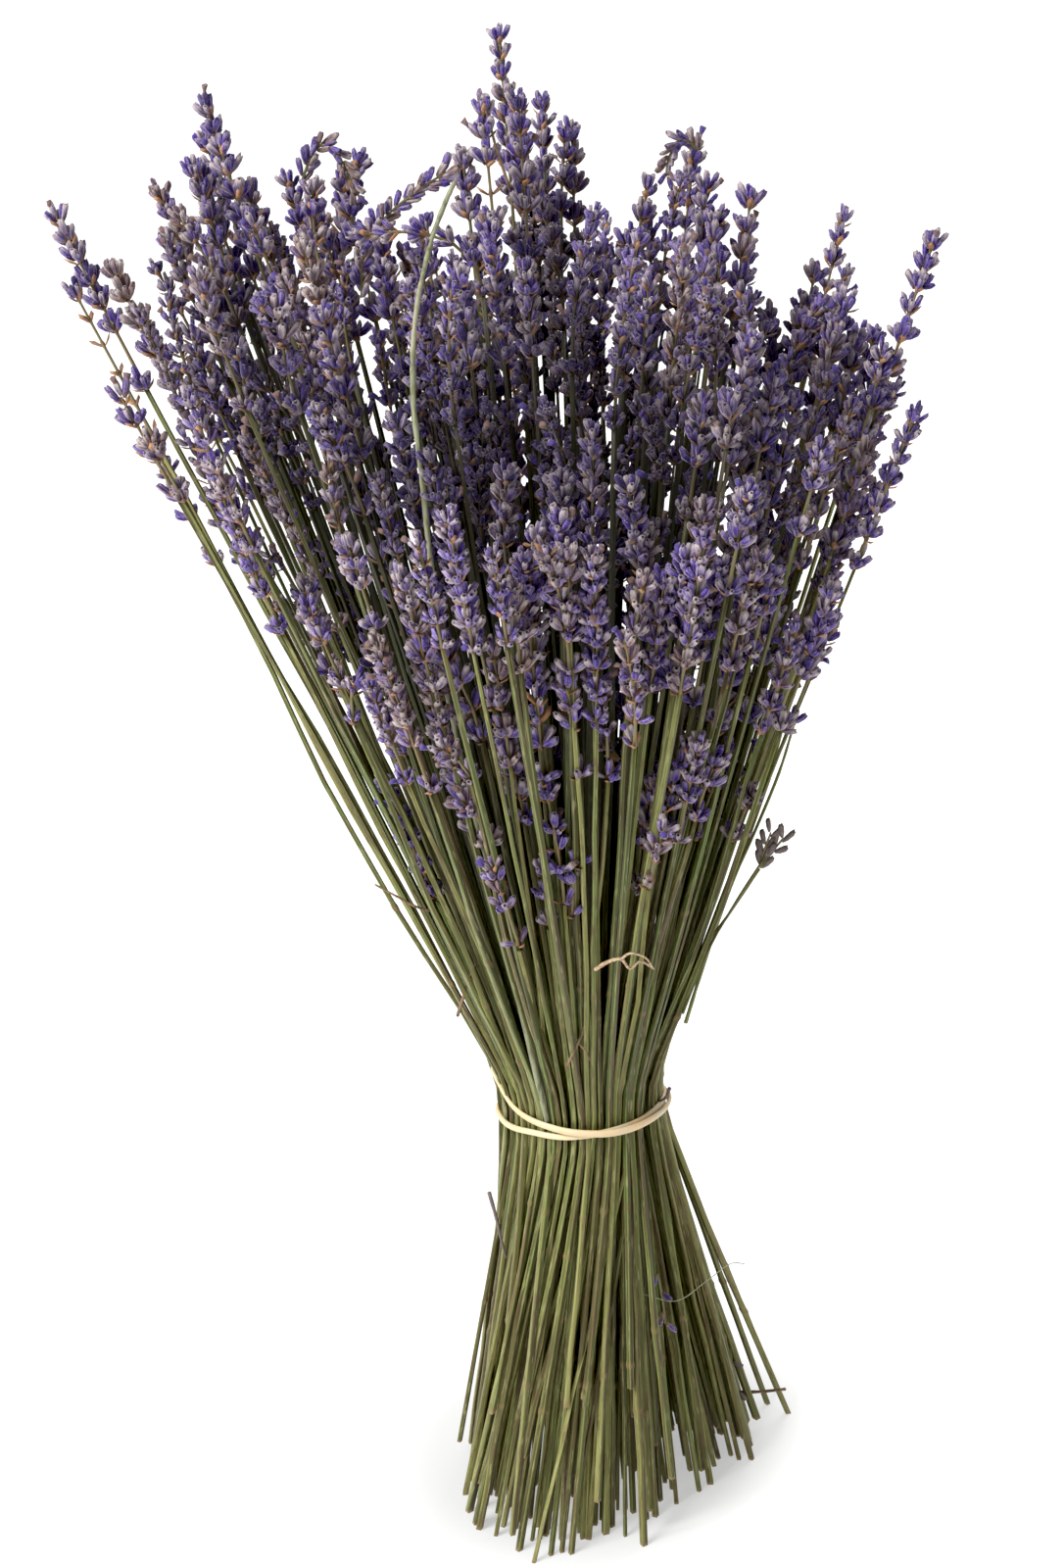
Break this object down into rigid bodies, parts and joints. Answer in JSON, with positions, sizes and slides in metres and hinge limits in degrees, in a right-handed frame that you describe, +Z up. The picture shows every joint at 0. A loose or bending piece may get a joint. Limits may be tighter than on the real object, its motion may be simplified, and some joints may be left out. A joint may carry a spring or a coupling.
{
  "type": "bunch of dried lavender",
  "caption": "Standing bunch of dried lavender: flower spikes on long cut stems that splay above and below a rubber band at the waist.",
  "frame": {"origin": "on the surface the bunch stands on, under the middle of its bounding box", "axes": "+Z up along the bunch, +X to the right and -Y towards the viewer, as the picture shows it"},
  "size_m": [0.242, 0.2289, 0.44],
  "materials": {
    "stem": "matte",
    "calyx": "matte",
    "rubber": "satin"
  },
  "bodies": {
    "root": {"band": "rubber", "spikes_01": "calyx", "spikes_02": "calyx", "spikes_03": "calyx", "spikes_04": "calyx", "spikes_05": "calyx", "spikes_06": "calyx", "spikes_07": "calyx", "spikes_08": "calyx", "spikes_09": "calyx", "spikes_10": "calyx", "spikes_11": "calyx", "spikes_12": "calyx", "spikes_13": "calyx", "spikes_14": "calyx", "spikes_15": "calyx", "spikes_16": "calyx", "spikes_17": "calyx", "spikes_18": "calyx", "spikes_19": "calyx", "spikes_20": "calyx", "spikes_21": "calyx", "spikes_22": "calyx", "spikes_23": "calyx", "spikes_24": "calyx", "spikes_25": "calyx", "spikes_26": "calyx", "spikes_27": "calyx", "spikes_28": "calyx", "spikes_29": "calyx", "spikes_30": "calyx", "spikes_31": "calyx", "spikes_32": "calyx", "spikes_33": "calyx", "spikes_34": "calyx", "spikes_35": "calyx", "spikes_36": "calyx", "spikes_37": "calyx", "spikes_38": "calyx", "spikes_39": "calyx", "spikes_40": "calyx", "spikes_41": "calyx", "spikes_42": "calyx", "spikes_43": "calyx", "stems_01": "stem", "stems_02": "stem", "stems_03": "stem", "stems_04": "stem", "stems_05": "stem", "stems_06": "stem", "stems_07": "stem", "stems_08": "stem", "stems_09": "stem", "stems_10": "stem", "stems_11": "stem", "stems_12": "stem", "stems_13": "stem", "stems_14": "stem", "stems_15": "stem"}
  },
  "joints": []
}
